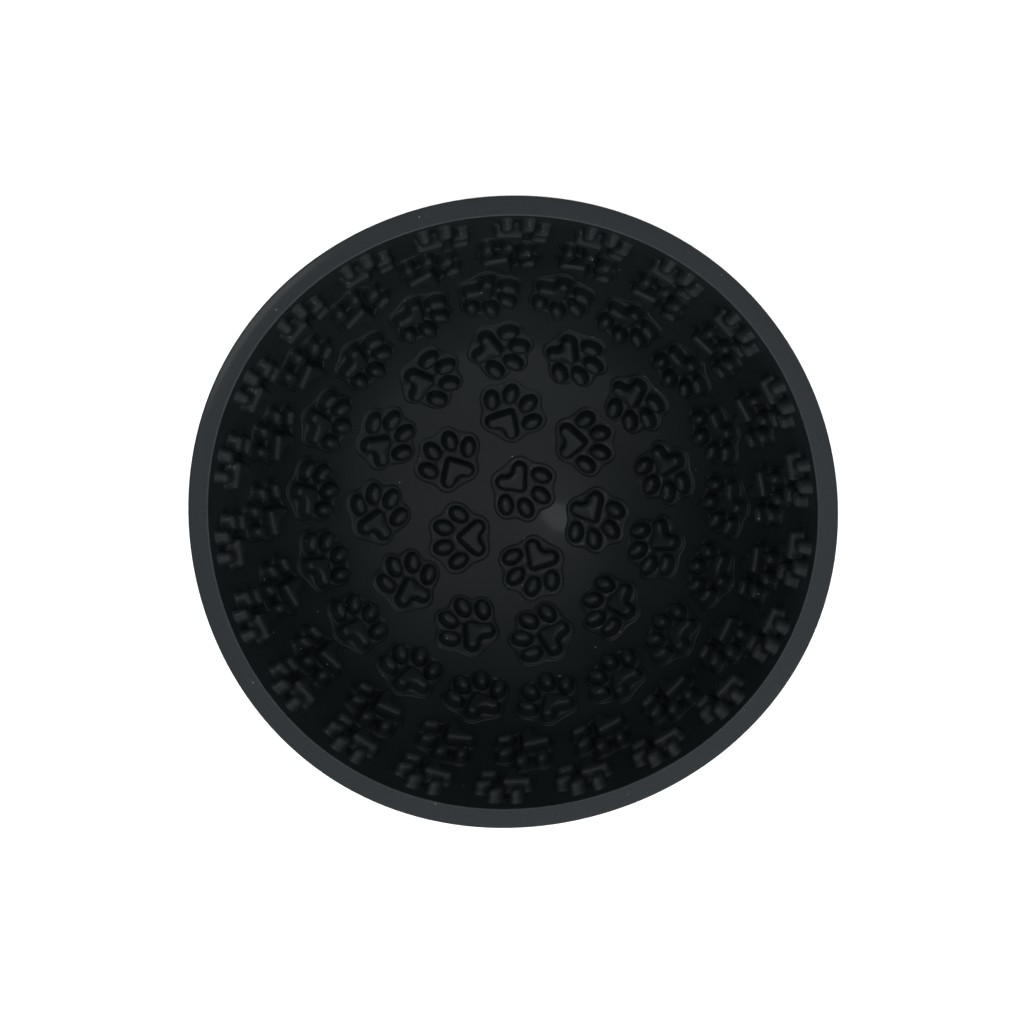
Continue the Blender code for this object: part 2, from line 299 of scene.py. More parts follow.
def toe_outline(across, along, lean, inset):
    """Oval of a toe, drawn in by the inset."""
    turn = math.radians(lean)
    points = []
    for step in range(TOE_POINTS):
        angle = 2 * math.pi * step / TOE_POINTS
        length = (TOE_HALF_LENGTH - inset) * math.cos(angle)
        width = (TOE_HALF_WIDTH - inset) * math.sin(angle)
        points.append((across + length * math.sin(turn) + width * math.cos(turn),
                       along + length * math.cos(turn) - width * math.sin(turn)))
    return points


def arc_points(centre, radius, start, end, count):
    """Points on an arc, angles in radians, the last one left out."""
    points = []
    for step in range(count):
        angle = start + (end - start) * step / count
        points.append((centre[0] + radius * math.cos(angle), centre[1] + radius * math.sin(angle)))
    return points


def pad_outline(inset):
    """Heart-shaped pad: two lobes and a tip joined by straight sides, with a round notch."""
    depth = NOTCH_ALONG - LOBE[1]
    notch_radius = (LOBE[0] ** 2 + depth ** 2 - LOBE_RADIUS ** 2) / (2 * (LOBE_RADIUS + depth))
    notch = (0.0, NOTCH_ALONG - notch_radius)
    to_notch = math.atan2(notch[1] - LOBE[1], notch[0] - LOBE[0])
    side_angle = math.atan2(TIP[1] - LOBE[1], TIP[0] - LOBE[0])
    reach = math.hypot(TIP[0] - LOBE[0], TIP[1] - LOBE[1])
    side_normal = side_angle - math.pi / 2 + math.asin((LOBE_RADIUS - TIP_RADIUS) / reach)
    half = []
    notch_start = math.pi / 2
    notch_end = math.atan2(LOBE[1] - notch[1], LOBE[0] - notch[0])
    half += arc_points(notch, notch_radius + inset, notch_start, notch_end, NOTCH_POINTS)
    half += arc_points(LOBE, LOBE_RADIUS - inset, to_notch, side_normal, LOBE_POINTS)
    lobe_end = (LOBE[0] + (LOBE_RADIUS - inset) * math.cos(side_normal),
                LOBE[1] + (LOBE_RADIUS - inset) * math.sin(side_normal))
    tip_start = (TIP[0] + (TIP_RADIUS - inset) * math.cos(side_normal),
                 TIP[1] + (TIP_RADIUS - inset) * math.sin(side_normal))
    for step in range(SIDE_POINTS):
        share = step / SIDE_POINTS
        half.append((lobe_end[0] + (tip_start[0] - lobe_end[0]) * share,
                     lobe_end[1] + (tip_start[1] - lobe_end[1]) * share))
    half += arc_points(TIP, TIP_RADIUS - inset, side_normal, math.pi / 2, TIP_POINTS)
    tip_end = (TIP[0], TIP[1] + TIP_RADIUS - inset)
    other = [(-across, along) for across, along in reversed(half[1:])]
    return half + [tip_end] + other


def blend_min(a, b, k):
    """Lesser of two distances, rounded off over a width k."""
    h = np.clip(0.5 + 0.5 * (b - a) / k, 0.0, 1.0)
    return b + (a - b) * h - k * h * (1.0 - h)


def paw_distance(x, y):
    """Signed distance, roughly, to the toes and pad together, blended where they meet."""
    total = None
    for across, along, lean in TOES:
        for sign in (1, -1):
            turn = math.radians(lean * sign)
            dx = x - across * sign
            dy = y - along
            length = dx * math.sin(turn) + dy * math.cos(turn)
            width = dx * math.cos(turn) - dy * math.sin(turn)
            scaled = np.hypot(length / TOE_HALF_LENGTH, width / TOE_HALF_WIDTH)
            slope = np.hypot(length / TOE_HALF_LENGTH ** 2, width / TOE_HALF_WIDTH ** 2)
            gap = scaled * (scaled - 1.0) / np.maximum(slope, LEAST_SLOPE)
            total = gap if total is None else blend_min(total, gap, OUTLINE_BLEND)
    for sign in (1, -1):
        arm = np.array((TIP[0] - LOBE[0] * sign, TIP[1] - LOBE[1]))
        share = np.clip(((x - LOBE[0] * sign) * arm[0] + (y - LOBE[1]) * arm[1]) / (arm @ arm), 0.0, 1.0)
        gap = np.hypot(x - LOBE[0] * sign - share * arm[0], y - LOBE[1] - share * arm[1])
        gap = gap - LOBE_RADIUS - share * (TIP_RADIUS - LOBE_RADIUS) - OUTLINE_PAD_EXTRA
        total = blend_min(total, gap, OUTLINE_BLEND)
    middle = NOTCH_ALONG + LOBE_RADIUS
    gap = np.hypot(x, y - middle) - LOBE_RADIUS - OUTLINE_PAD_EXTRA
    return blend_min(total, gap, OUTLINE_BLEND)


def outline_radius(margin):
    """Distances from the paw's middle to the scalloped outline at a margin, one for each direction."""
    angle = 2 * np.pi * np.arange(OUTLINE_POINTS) / OUTLINE_POINTS
    near = np.zeros(OUTLINE_POINTS)
    far = np.full(OUTLINE_POINTS, OUTLINE_REACH)
    for _ in range(OUTLINE_HALVINGS):
        middle = (near + far) / 2
        inside = paw_distance(middle * np.cos(angle), middle * np.sin(angle)) < margin
        near = np.where(inside, middle, near)
        far = np.where(inside, far, middle)
    return near


def paw_outline(margin):
    """Points of the scalloped outline at an even margin round the toes and pad."""
    angle = 2 * np.pi * np.arange(OUTLINE_POINTS) / OUTLINE_POINTS
    radius = outline_radius(margin)
    return list(zip(radius * np.cos(angle), radius * np.sin(angle)))


def patch_edge(margin):
    """Margin of a patch's edge from that of its groove."""
    return margin + GROOVED_EDGE if margin else PLAIN_EDGE


def triangulated(points, edges, areas, tolerance):
    """Triangles over flat points that keep these edges and areas, each with the areas that hold it."""
    made, _, faces, origins, _, holders = delaunay_2d_cdt(points, edges, areas, ALL_TRIANGLES, tolerance)
    if len(made) != len(points):
        raise RuntimeError("outlines cross each other")
    order = [origin[0] for origin in origins]
    return [(tuple(order[corner] for corner in face), held) for face, held in zip(faces, holders)]


def paw_patch(margin):
    """Flat patch with one paw and a groove at a margin: points, heights over the wall, and faces.

    The first points are the patch's edge."""
    points = []
    heights = []
    edges = []

    def add_loop(loop, height):
        start = len(points)
        points.extend(Vector(point) for point in loop)
        heights.extend([height] * len(loop))
        edges.extend((start + step, start + (step + 1) % len(loop)) for step in range(len(loop)))

    def add_point(point):
        points.append(Vector(point))
        heights.append(BUMP_HEIGHT)

    add_loop(paw_outline(patch_edge(margin)), 0.0)
    if margin:
        for offset, share in GROOVE_SIDE:
            add_loop(paw_outline(margin + offset), -share * GROOVE_DEPTH)
    for across, along, lean in TOES:
        for sign in (1, -1):
            for inset, share in TOE_SIDE:
                add_loop(toe_outline(across * sign, along, lean * sign, inset), share * BUMP_HEIGHT)
            turn = math.radians(lean * sign)
            for reach in TOE_TOPS:
                add_point((across * sign + reach * math.sin(turn), along + reach * math.cos(turn)))
    for inset, share in PAD_SIDE:
        add_loop(pad_outline(inset), share * BUMP_HEIGHT)
    for point in PAD_TOPS:
        add_point(point)
    area = list(range(OUTLINE_POINTS))
    found = triangulated(points, edges, [area], PATCH_TOLERANCE)
    faces = [face for face, inside in found if inside]
    return np.array([tuple(point) for point in points]), np.array(heights), faces


def paw_axes(rise, azimuth, turn):
    """A paw's direction from the bowl's centre, and its directions towards the toes and to the side."""
    level = np.array((math.cos(azimuth), math.sin(azimuth), 0.0))
    upright = np.array((0.0, 0.0, 1.0))
    down = math.sin(rise) * level - math.cos(rise) * upright
    outward = math.cos(rise) * level + math.sin(rise) * upright
    right = np.cross(level, upright)
    toes = math.cos(turn) * outward + math.sin(turn) * right
    side = math.cos(turn) * right - math.sin(turn) * outward
    return down, toes, side


def on_bowl(directions, heights):
    """Points at these heights above the bowl's inside, along directions from its centre."""
    unit = directions / np.linalg.norm(directions, axis=1)[:, None]
    return np.array((0.0, 0.0, BOWL_CENTRE_Z)) + unit * (BOWL_SPHERE - heights)[:, None]


def all_paws():
    """Every paw as its axes and its groove's margin."""
    paws = []
    for count, rise, first, turn, margin in PAW_RINGS:
        for index in range(count):
            azimuth = math.radians(first + 360.0 * index / count)
            paws.append((*paw_axes(math.radians(rise), azimuth, math.radians(turn)), margin))
    return paws


def to_map(directions):
    """Flat map of directions: distance from the middle is the rise, in radians."""
    unit = directions / np.linalg.norm(directions, axis=1)[:, None]
    rise = np.arccos(np.clip(-unit[:, 2], -1.0, 1.0))
    flat = np.hypot(unit[:, 0], unit[:, 1])
    scale = rise / np.maximum(flat, TINY)
    return unit[:, :2] * scale[:, None]


def from_map(flat):
    """Directions of points on the flat map."""
    rise = np.hypot(flat[:, 0], flat[:, 1])
    scale = np.sin(rise) / np.maximum(rise, TINY)
    return np.column_stack((flat * scale[:, None], -np.cos(rise)))


def patch_gap(directions, paws):
    """Distance of directions from the nearest paw patch in metres, less than nothing inside it."""
    unit = directions / np.linalg.norm(directions, axis=1)[:, None]
    edges = {margin: PAW_SPAN * outline_radius(patch_edge(margin)) for *_, margin in PAW_RINGS}
    edge_angle = 2 * np.pi * np.arange(OUTLINE_POINTS) / OUTLINE_POINTS
    nearest = np.full(len(unit), np.inf)
    for down, toes, side, margin in paws:
        ahead = unit @ down
        across = BOWL_SPHERE * (unit @ side) / np.maximum(ahead, AHEAD_LEAST)
        along = BOWL_SPHERE * (unit @ toes) / np.maximum(ahead, AHEAD_LEAST)
        angle = np.arctan2(along, across) % (2 * np.pi)
        gap = np.hypot(across, along) - np.interp(angle, edge_angle, edges[margin], period=2 * np.pi)
        nearest = np.minimum(nearest, np.where(ahead > AHEAD_NEAR, gap, np.inf))
    return nearest


def ring_of(count, shift=0.0):
    """Points evenly round a circle of radius one."""
    angle = 2 * np.pi * (np.arange(count) + shift) / count
    return np.column_stack((np.cos(angle), np.sin(angle)))


def fill_points(paws, top_rise):
    """Map points that cover the bare wall between the patches."""
    points = []
    rings = int(top_rise * BOWL_SPHERE / FILL_SPACING)
    for ring in range(1, rings):
        rise = top_rise * ring / rings
        count = int(2 * math.pi * BOWL_SPHERE * math.sin(rise) / FILL_SPACING)
        points.append(rise * ring_of(count, 0.5 * (ring % 2)))
    points.append((top_rise - RIM_EDGE / BOWL_SPHERE) * ring_of(BOWL_SEGMENTS))
    points = np.concatenate(points)
    return points[patch_gap(from_map(points), paws) > FILL_CLEAR * FILL_SPACING]


def place_patches(paws):
    """Each paw's patch set on the bowl: directions, heights and faces."""
    shapes = {margin: paw_patch(margin) for *_, margin in PAW_RINGS}
    placed = []
    for down, toes, side, margin in paws:
        local, heights, faces = shapes[margin]
        directions = down * BOWL_SPHERE + PAW_SPAN * (local[:, :1] * side + local[:, 1:] * toes)
        placed.append((directions, heights, faces))
    return placed


def bare_wall(paws, paw_patches, top_rise):
    """Wall between the patches: its map points, the mouth's and the patches' edges first, and its faces."""
    flat = [top_rise * ring_of(BOWL_SEGMENTS)]
    edges = [(step, (step + 1) % BOWL_SEGMENTS) for step in range(BOWL_SEGMENTS)]
    patches = []
    for directions, _, _ in paw_patches:
        start = BOWL_SEGMENTS + len(patches) * OUTLINE_POINTS
        flat.append(to_map(directions[:OUTLINE_POINTS]))
        patches.append(list(range(start, start + OUTLINE_POINTS)))
    flat.append(fill_points(paws, top_rise))
    flat = np.concatenate(flat)
    found = triangulated([Vector(point) for point in flat], edges, patches, WALL_TOLERANCE)
    return flat, [face for face, inside in found if not inside]


def make_lick_bowl():
    """One closed skin: paw patches, the bare wall between them, the flat rim and the outside."""
    edge_z = HEIGHT - RIM_EDGE
    top_rise = math.acos((BOWL_CENTRE_Z - edge_z) / BOWL_SPHERE)
    paws = all_paws()
    paw_patches = place_patches(paws)
    flat, faces = bare_wall(paws, paw_patches, top_rise)
    points = [on_bowl(from_map(flat), np.zeros(len(flat)))]
    total = len(flat)
    for index, (directions, heights, patch_faces) in enumerate(paw_patches):
        rim_start = BOWL_SEGMENTS + index * OUTLINE_POINTS
        inner_start = total - OUTLINE_POINTS
        points.append(on_bowl(directions[OUTLINE_POINTS:], heights[OUTLINE_POINTS:]))
        for face in patch_faces:
            faces.append(tuple(
                rim_start + corner if corner < OUTLINE_POINTS else inner_start + corner
                for corner in face
            ))
        total += len(directions) - OUTLINE_POINTS
    rows = [list(range(BOWL_SEGMENTS))]
    for radius, height in rim_section(BOWL_SPHERE * math.sin(top_rise)):
        rows.append(list(range(total, total + BOWL_SEGMENTS)))
        points.append(np.column_stack((radius * ring_of(BOWL_SEGMENTS), np.full(BOWL_SEGMENTS, height))))
        total += BOWL_SEGMENTS
    lip_start = len(faces)
    for lower, upper in zip(rows, rows[1:]):
        for step in range(BOWL_SEGMENTS):
            after = (step + 1) % BOWL_SEGMENTS
            faces.append((lower[step], upper[step], upper[after], lower[after]))
    points.append(np.array([(0.0, 0.0, BOWL_CENTRE_Z - BOWL_SPHERE - BOWL_WALL)]))
    for step in range(BOWL_SEGMENTS):
        faces.append((rows[-1][(step + 1) % BOWL_SEGMENTS], rows[-1][step], total))
    lip = range(lip_start, lip_start + LIP_ROWS * BOWL_SEGMENTS)
    return mesh_object("lick_bowl_skin", out_of_round(np.concatenate(points)), faces, lip)


def quarter_round(centre, radius, start, end, steps):
    """Points of a rounded edge in a section, angles in degrees, both ends kept."""
    points = []
    for step in range(steps + 1):
        angle = math.radians(start + (end - start) * step / steps)
        points.append((centre[0] + radius * math.cos(angle), centre[1] + radius * math.sin(angle)))
    return points


def rim_section(edge_radius):
    """Section from just above the bowl's inside, over the rim and down the outside, as radius and height."""
    under_z = HEIGHT - FLANGE_THICKNESS
    outer = BOWL_SPHERE + BOWL_WALL
    lip = (edge_radius + RIM_EDGE, HEIGHT - RIM_EDGE)
    upper = (RIM_RADIUS - RIM_EDGE, HEIGHT - RIM_EDGE)
    lower = (RIM_RADIUS - RIM_EDGE, under_z + RIM_EDGE)
    section = quarter_round(lip, RIM_EDGE, LIP_START, 90, LIP_ROWS - 1)
    section += quarter_round(upper, RIM_EDGE, 90, 0, EDGE_STEPS)
    section += quarter_round(lower, RIM_EDGE, 0, -90, EDGE_STEPS)
    neck_rise = math.acos((BOWL_CENTRE_Z - under_z) / outer)
    for step in range(OUTSIDE_STEPS):
        rise = neck_rise * (1 - step / OUTSIDE_STEPS)
        section.append((outer * math.sin(rise), BOWL_CENTRE_Z - outer * math.cos(rise)))
    return section


def turned(name, section, centre=(0.0, 0.0), segments=TURN_SEGMENTS):
    """Closed solid turned from a closed section; points at radius zero share one vertex on the axis."""
    points = []
    rows = []
    for radius, height in section:
        if radius < AXIS_REACH:
            rows.append([len(points)])
            points.append((centre[0], centre[1], height))
            continue
        rows.append(list(range(len(points), len(points) + segments)))
        for step in range(segments):
            angle = 2 * math.pi * step / segments
            x = centre[0] + radius * math.cos(angle)
            y = centre[1] + radius * math.sin(angle)
            points.append((x, y, height))
    faces = []
    for lower, upper in zip(rows, rows[1:] + rows[:1]):
        if len(lower) == 1 and len(upper) == 1:
            continue
        for step in range(segments):
            after = (step + 1) % segments
            corners = (lower[step % len(lower)], lower[after % len(lower)],
                       upper[after % len(upper)], upper[step % len(upper)])
            faces.append(tuple(dict.fromkeys(corners)))
    return name, points, faces


def sphere_arc(sphere, centre_z, radius_from, radius_to, steps):
    """Section of a sphere's lower half between two radii."""
    start = math.asin(radius_from / sphere)
    end = math.asin(radius_to / sphere)
    points = []
    for step in range(steps + 1):
        angle = start + (end - start) * step / steps
        points.append((sphere * math.sin(angle), centre_z - sphere * math.cos(angle)))
    return points


def screw_place(index):
    """Low and high corner of a screw, and its axis."""
    low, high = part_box("cover_screw_" + str(index))
    return low, high, ((low.x + high.x) / 2, (low.y + high.y) / 2)


def make_rocker_shell():
    """Round-bottomed shell with a rounded lip, the foot's pocket and four bosses for the cover's screws."""
    top_z = shell_high.z
    top_radius = shell_high.x
    sphere = (top_radius ** 2 + (top_z + SHELL_DIP) ** 2) / (2 * (top_z + SHELL_DIP))
    centre_z = sphere - SHELL_DIP
    inner = sphere - (top_radius - GASKET_INNER + SHELL_EDGE)
    floor_z = ballast_low.z - CLEARANCE
    pocket_z = shell_low.z
    pocket_radius = tread_high.x + CLEARANCE
    edge_radius = math.sqrt(sphere ** 2 - (centre_z - top_z + SHELL_EDGE) ** 2)
    inner_radius = math.sqrt(inner ** 2 - (centre_z - top_z + SHELL_EDGE) ** 2)
    floor_radius = math.sqrt(inner ** 2 - (centre_z - floor_z) ** 2)
    section = [(0.0, pocket_z), (pocket_radius, pocket_z)]
    lip_out = (edge_radius - SHELL_EDGE, top_z - SHELL_EDGE)
    lip_in = (inner_radius + SHELL_EDGE, top_z - SHELL_EDGE)
    section += sphere_arc(sphere, centre_z, pocket_radius, edge_radius, SHELL_OUTSIDE_STEPS)
    section += quarter_round(lip_out, SHELL_EDGE, SHELL_LIP_LEAN, 90, EDGE_STEPS)
    section += quarter_round(lip_in, SHELL_EDGE, 90, 180 - SHELL_LIP_LEAN, EDGE_STEPS)
    section += sphere_arc(inner, centre_z, inner_radius, floor_radius, SHELL_INSIDE_STEPS)
    section.append((0.0, floor_z))
    name, points, faces = turned("rocker_shell_skin", section)
    for index in SCREWS:
        low, _, centre = screw_place(index)
        root = centre_z - math.sqrt(inner ** 2 - centre[0] ** 2 - centre[1] ** 2) - BOSS_ROOT
        pilot = SCREW_SHANK + CLEARANCE
        pilot_z = low.z - CLEARANCE
        boss = [(0.0, root), (BOSS_RADIUS, root), (BOSS_RADIUS, ballast_high.z)]
        boss += [(pilot, ballast_high.z), (pilot, pilot_z), (0.0, pilot_z)]
        _, boss_points, boss_faces = turned("boss", boss, centre, SCREW_SEGMENTS)
        faces += [tuple(len(points) + corner for corner in face) for face in boss_faces]
        points += boss_points
    return mesh_object(name, out_of_round(points), faces, sharp=CREASE)


def make_rim_gasket():
    """Flat sealing ring between the rim and the shell's edge."""
    outer = gasket_high.x
    section = [(GASKET_INNER, gasket_low.z), (outer, gasket_low.z)]
    section += [(outer, gasket_high.z), (GASKET_INNER, gasket_high.z)]
    name, points, faces = turned("rim_gasket_ring", section)
    return mesh_object(name, out_of_round(points), faces, sharp=CREASE)


def make_tread_pad():
    """Rubber foot: a flat with a rounded edge that carries the shell's curve on."""
    radius = tread_high.x
    top = tread_high.z
    flat = radius - TREAD_FLAT_INSET
    halfway, near, side = TREAD_RISES
    section = [(0.0, 0.0), (flat, 0.0), (0.5 * (flat + radius), halfway), (radius - TREAD_EDGE, near)]
    section += [(radius, side), (radius, top), (0.0, top)]
    return mesh_object(*turned("tread_pad_rubber", section), sharp=CREASE)


def make_screw(index):
    """Pan head with a rounded crown and a six-sided socket, on a plain shank."""
    low, high, centre = screw_place(index)
    head = (high.x - low.x) / 2
    seat = high.z - SCREW_HEAD_HEIGHT
    section = [(0.0, high.z - SOCKET_DEPTH), (SOCKET_RADIUS, high.z - SOCKET_DEPTH)]
    section += [(SOCKET_RADIUS, high.z - SOCKET_BEVEL_DEPTH), (SOCKET_RADIUS + SOCKET_BEVEL, high.z)]
    section += [(share * head, high.z - drop) for share, drop in HEAD_CROWN]
    section += [(head, seat + HEAD_SIDE), (head, seat), (SCREW_SHANK, seat)]
    section += [(SCREW_SHANK, low.z + SCREW_SHANK), (0.0, low.z)]
    name, points, faces = turned("cover_screw_head_" + str(index), section[::-1], centre, SCREW_SEGMENTS)
    points = np.array(points)
    for spot in range(len(points)):
        across = points[spot, :2] - np.array(centre)
        reach = math.hypot(*across)
        if points[spot, 2] > seat + SOCKET_LOW and reach < SOCKET_RADIUS + SOCKET_REACH:
            around = math.atan2(across[1], across[0]) % (math.pi / 3) - math.pi / 6
            points[spot, :2] = np.array(centre) + across * math.cos(math.pi / 6) / math.cos(around)
    return mesh_object(name, points.tolist(), faces, sharp=CREASE)


def new_material(name):
    """Material with its nodes and links."""
    made = bpy.data.materials.new(name)
    made.use_nodes = True
    return made, made.node_tree.nodes, made.node_tree.links


def reckon(nodes, links, operation, first, second):
    """Result of a math node on a socket and on a socket or number."""
    node = nodes.new("ShaderNodeMath")
    node.operation = operation
    links.new(first, node.inputs[0])
    if isinstance(second, float):
        node.inputs[1].default_value = second
    else:
        links.new(second, node.inputs[1])
    return node.outputs["Value"]


def part_along(nodes, links, vector, axis):
    """A vector's part along an axis."""
    node = nodes.new("ShaderNodeVectorMath")
    node.operation = "DOT_PRODUCT"
    node.inputs[1].default_value = axis
    links.new(vector, node.inputs[0])
    return node.outputs["Value"]


def mask(nodes, links, vector, low, high, axis=(0.0, 0.0, 1.0)):
    """Smooth step over a vector's part along an axis."""
    step = nodes.new("ShaderNodeMapRange")
    step.interpolation_type = "SMOOTHSTEP"
    step.inputs["From Min"].default_value = low
    step.inputs["From Max"].default_value = high
    links.new(part_along(nodes, links, vector, axis), step.inputs["Value"])
    return step.outputs["Result"]


def noise(nodes, links, place, scale, detail):
    """Soft noise between nought and one."""
    node = nodes.new("ShaderNodeTexNoise")
    node.inputs["Scale"].default_value = scale
    node.inputs["Detail"].default_value = detail
    links.new(place, node.inputs["Vector"])
    return node.outputs["Fac"]


def ramp(nodes, links, value, colour, ends):
    """Colour ramp whose ends are given as place, share of the colour."""
    node = nodes.new("ShaderNodeValToRGB")
    for element, (position, share) in zip(node.color_ramp.elements, ends):
        element.position = position
        element.color = (*[part * share for part in colour], 1.0)
    links.new(value, node.inputs["Fac"])
    return node


def blend(nodes, links, factor, first, second):
    """Colour mixed from a socket and from a socket or plain colour."""
    node = nodes.new("ShaderNodeMix")
    node.data_type = "RGBA"
    links.new(factor, node.inputs["Factor"])
    links.new(first, node.inputs["A"])
    if isinstance(second, tuple):
        node.inputs["B"].default_value = (*second, 1.0)
    else:
        links.new(second, node.inputs["B"])
    return node.outputs["Result"]


def look(name):
    """Material with a clouded colour, an uneven sheen and a fine grain, all in object coordinates."""
    colour, roughness, cloud_scale, spread, grain_scale, grain, metallic = LOOKS[name]
    made, nodes, links = new_material(name)
    shader = nodes["Principled BSDF"]
    place = nodes.new("ShaderNodeTexCoord").outputs["Object"]
    cloud = noise(nodes, links, place, cloud_scale, CLOUD_DETAIL)
    ends = ((CLOUD_EDGES[0], 1.0 - spread), (CLOUD_EDGES[1], 1.0 + spread))
    tint = ramp(nodes, links, cloud, colour, ends)
    tint.name = "tint"
    links.new(tint.outputs["Color"], shader.inputs["Base Color"])
    sheen = nodes.new("ShaderNodeMapRange")
    sheen.inputs["From Min"].default_value = SHEEN_EDGES[0]
    sheen.inputs["From Max"].default_value = SHEEN_EDGES[1]
    sheen.inputs["To Min"].default_value = roughness - SHEEN_SPREAD
    sheen.inputs["To Max"].default_value = roughness + SHEEN_SPREAD
    links.new(cloud, sheen.inputs["Value"])
    links.new(sheen.outputs["Result"], shader.inputs["Roughness"])
    bump = nodes.new("ShaderNodeBump")
    bump.inputs["Strength"].default_value = grain
    bump.inputs["Distance"].default_value = GRAIN_DEPTH
    links.new(noise(nodes, links, place, grain_scale, GRAIN_DETAIL), bump.inputs["Height"])
    links.new(bump.outputs["Normal"], shader.inputs["Normal"])
    shader.inputs["Metallic"].default_value = metallic
    return made


def add_lint(nodes, links, place, colour):
    """Colour with a few pale specks of lint: small spots at the middles of some cells."""
    cells = nodes.new("ShaderNodeTexVoronoi")
    cells.inputs["Scale"].default_value = LINT_SCALE
    links.new(place, cells.inputs["Vector"])
    near = reckon(nodes, links, "LESS_THAN", cells.outputs["Distance"], LINT_RADIUS)
    parts = nodes.new("ShaderNodeSeparateColor")
    links.new(cells.outputs["Color"], parts.inputs["Color"])
    chosen = reckon(nodes, links, "LESS_THAN", parts.outputs["Red"], LINT_SHARE)
    both = reckon(nodes, links, "MULTIPLY", near, chosen)
    return blend(nodes, links, both, colour, LINT_COLOUR)


def bowl_rubber():
    """Satin black rubber, paler on the rim and the ledges just below it, where the dust colour paints
    overhead light, paler in a band on the upper wall, and lighter towards +X and −Y.
    """
    made = look("black_rubber")
    nodes = made.node_tree.nodes
    links = made.node_tree.links
    shader = nodes["Principled BSDF"]
    place = nodes.new("ShaderNodeTexCoord").outputs["Object"]
    normal = nodes.new("ShaderNodeNewGeometry").outputs["Normal"]
    # Paler dust colour on up-facing surfaces near the rim: painted overhead light
    facing_light = mask(nodes, links, normal, *LIT_UPWARD_EDGES)
    high = mask(nodes, links, place, *LIT_DUST_HEIGHTS)
    settled_and_lit = reckon(nodes, links, "MULTIPLY", facing_light, high)
    # Paler band on the upper wall, rising with height
    upper_band = reckon(nodes, links, "MULTIPLY", mask(nodes, links, place, *UPPER_BAND_HEIGHTS), UPPER_BAND_SHARE)
    paler_share = reckon(nodes, links, "MAXIMUM", settled_and_lit, upper_band)
    dust = ramp(nodes, links, noise(nodes, links, place, DUST_SCALE, DUST_DETAIL), DUST_AND_LIGHT_COLOUR, DUST_TINTS)
    # Dust colour grows lighter towards +X and −Y
    side_scale = reckon(nodes, links, "ADD", part_along(nodes, links, place, COLOUR_SIDE_LEAN), 1.0)
    side_scaled = nodes.new("ShaderNodeVectorMath")
    side_scaled.operation = "SCALE"
    links.new(dust.outputs["Color"], side_scaled.inputs["Vector"])
    links.new(side_scale, side_scaled.inputs["Scale"])
    mixed = blend(nodes, links, paler_share, nodes["tint"].outputs["Color"], side_scaled.outputs["Vector"])
    links.new(add_lint(nodes, links, place, mixed), shader.inputs["Base Color"])
    shader.inputs["Specular IOR Level"].default_value = SPECULAR
    shader.inputs["Coat Weight"].default_value = COAT_WEIGHT
    shader.inputs["Coat Roughness"].default_value = COAT_ROUGHNESS
    return made


def lip_painted_highlight():
    """Glossier rubber of the rim's inner edge, paler in colour as a painted highlight along its rounding."""
    made = look("lip_painted_highlight")
    made.node_tree.nodes["Principled BSDF"].inputs["Specular IOR Level"].default_value = LIP_SPECULAR
    return made


def camera():
    """Camera over the bowl, leaning a little towards +X and +Y, with +Y up in the frame."""
    lean_x = math.radians(CAMERA_LEAN_X)
    lean_y = math.radians(CAMERA_LEAN_Y)
    back = Vector((math.sin(lean_x), math.sin(lean_y), 0.0))
    back.z = math.sqrt(1.0 - back.length_squared)
    up = (Vector((0.0, 1.0, 0.0)) - back * back.y).normalized()
    right = up.cross(back)
    aim = Vector((0.0, 0.0, HEIGHT)) + right * CAMERA_AIM[0] + up * CAMERA_AIM[1]
    place = aim + back * CAMERA_DISTANCE
    made = bpy.data.objects.new("camera", bpy.data.cameras.new("camera"))
    made.data.sensor_width = SENSOR
    made.data.lens = SENSOR * FOCAL_PIXELS / FRAME_PIXELS
    made.data.clip_start = CAMERA_NEAR
    turn = Matrix((right, up, back)).transposed().to_4x4()
    made.matrix_world = Matrix.Translation(place) @ turn
    bpy.context.scene.collection.objects.link(made)
    bpy.context.scene.camera = made


def lamp(name, place, target, width, depth, radiance):
    """Soft oval lamp of a given brightness, facing a point."""
    made = bpy.data.objects.new(name, bpy.data.lights.new(name, "AREA"))
    made.data.shape = "ELLIPSE"
    made.data.size = width
    made.data.size_y = depth
    area = width * depth * (math.pi / 4)
    made.data.energy = radiance * math.pi * area
    made.location = place
    made.rotation_euler = (Vector(target) - Vector(place)).to_track_quat("-Z", "Y").to_euler()
    bpy.context.scene.collection.objects.link(made)
    return made


def looked_at(nodes, links):
    """One for rays from the camera, a mirror or glass, and nothing for the rest."""
    rays = nodes.new("ShaderNodeLightPath")
    total = rays.outputs["Is Camera Ray"]
    for name in ("Is Glossy Ray", "Is Transmission Ray"):
        total = reckon(nodes, links, "MAXIMUM", total, rays.outputs[name])
    return total


